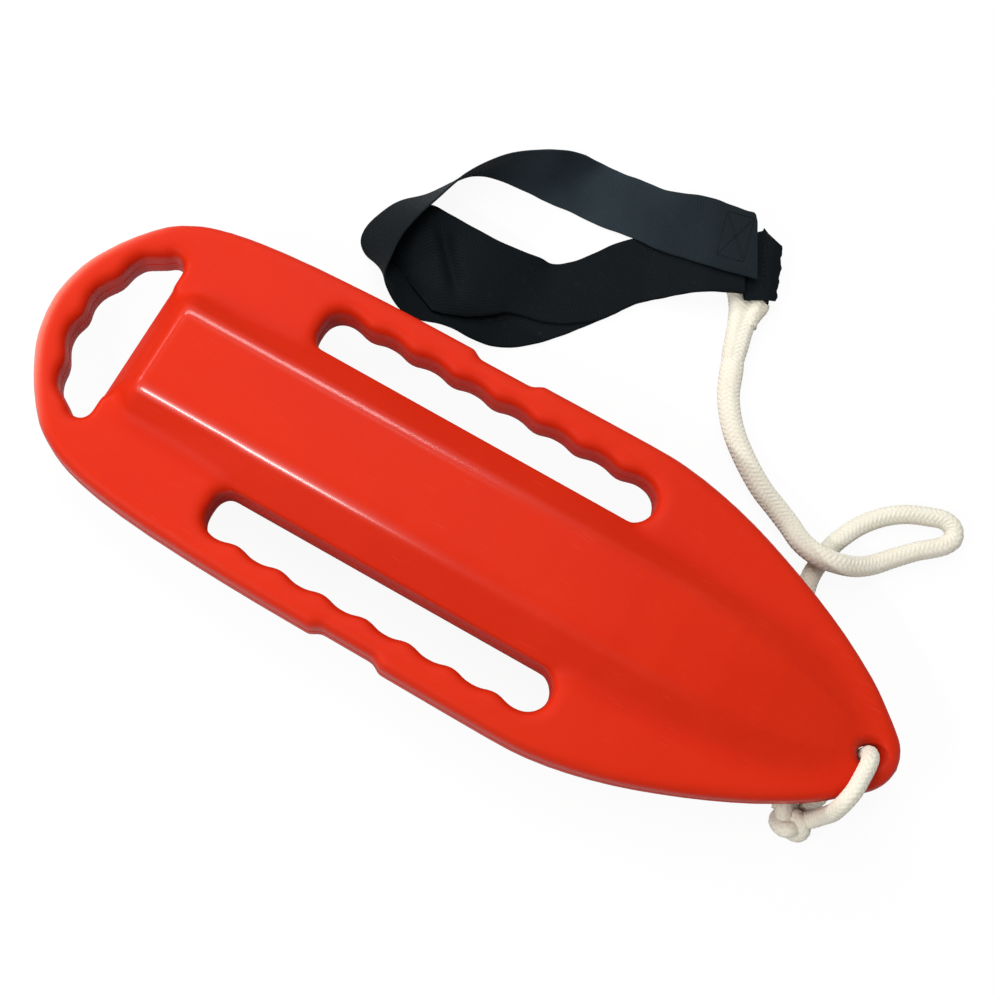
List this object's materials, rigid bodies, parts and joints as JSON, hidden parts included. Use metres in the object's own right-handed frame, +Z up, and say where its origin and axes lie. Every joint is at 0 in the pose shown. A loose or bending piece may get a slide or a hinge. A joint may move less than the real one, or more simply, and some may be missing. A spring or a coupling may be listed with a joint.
{
  "type": "rescue can buoy",
  "caption": "Torpedo-shaped red foam-filled rescue float with grip handles, a rope tied through its nose and a black webbing shoulder strap.",
  "frame": {"origin": "on the flat underside of the float, on its centre line and halfway along it", "axes": "+X towards the pointed nose with the rope, +Y towards the side on which the shoulder strap lies, +Z up from the underside"},
  "size_m": [0.7083, 0.4691, 0.088],
  "materials": {
    "shell_red": "moulded polyethylene with a soft sheen",
    "foam": "closed-cell foam, not seen",
    "rope": "hollow-braided white rope",
    "webbing": "woven black webbing",
    "thread": "black sewing thread"
  },
  "bodies": {
    "can": {"can_shell": "shell_red", "foam_core": "foam", "fill_plug": "shell_red", "nose_knot": "rope", "nose_loop": "rope", "tow_rope": "rope", "eye_splice": "rope", "rope_eye": "rope"},
    "strap": {"eye_sleeve": "webbing", "shoulder_strap": "webbing", "strap_tail": "webbing", "box_stitches": "thread", "row_stitches": "thread"}
  },
  "joints": [
    {"name": "strap_lift", "type": "hinge", "parent": "can", "child": "strap", "pos_m": [0.106, 0.28504, 0.0092], "axis": [-0.36, 0.933, 0], "range_deg": [0, 90]}
  ]
}
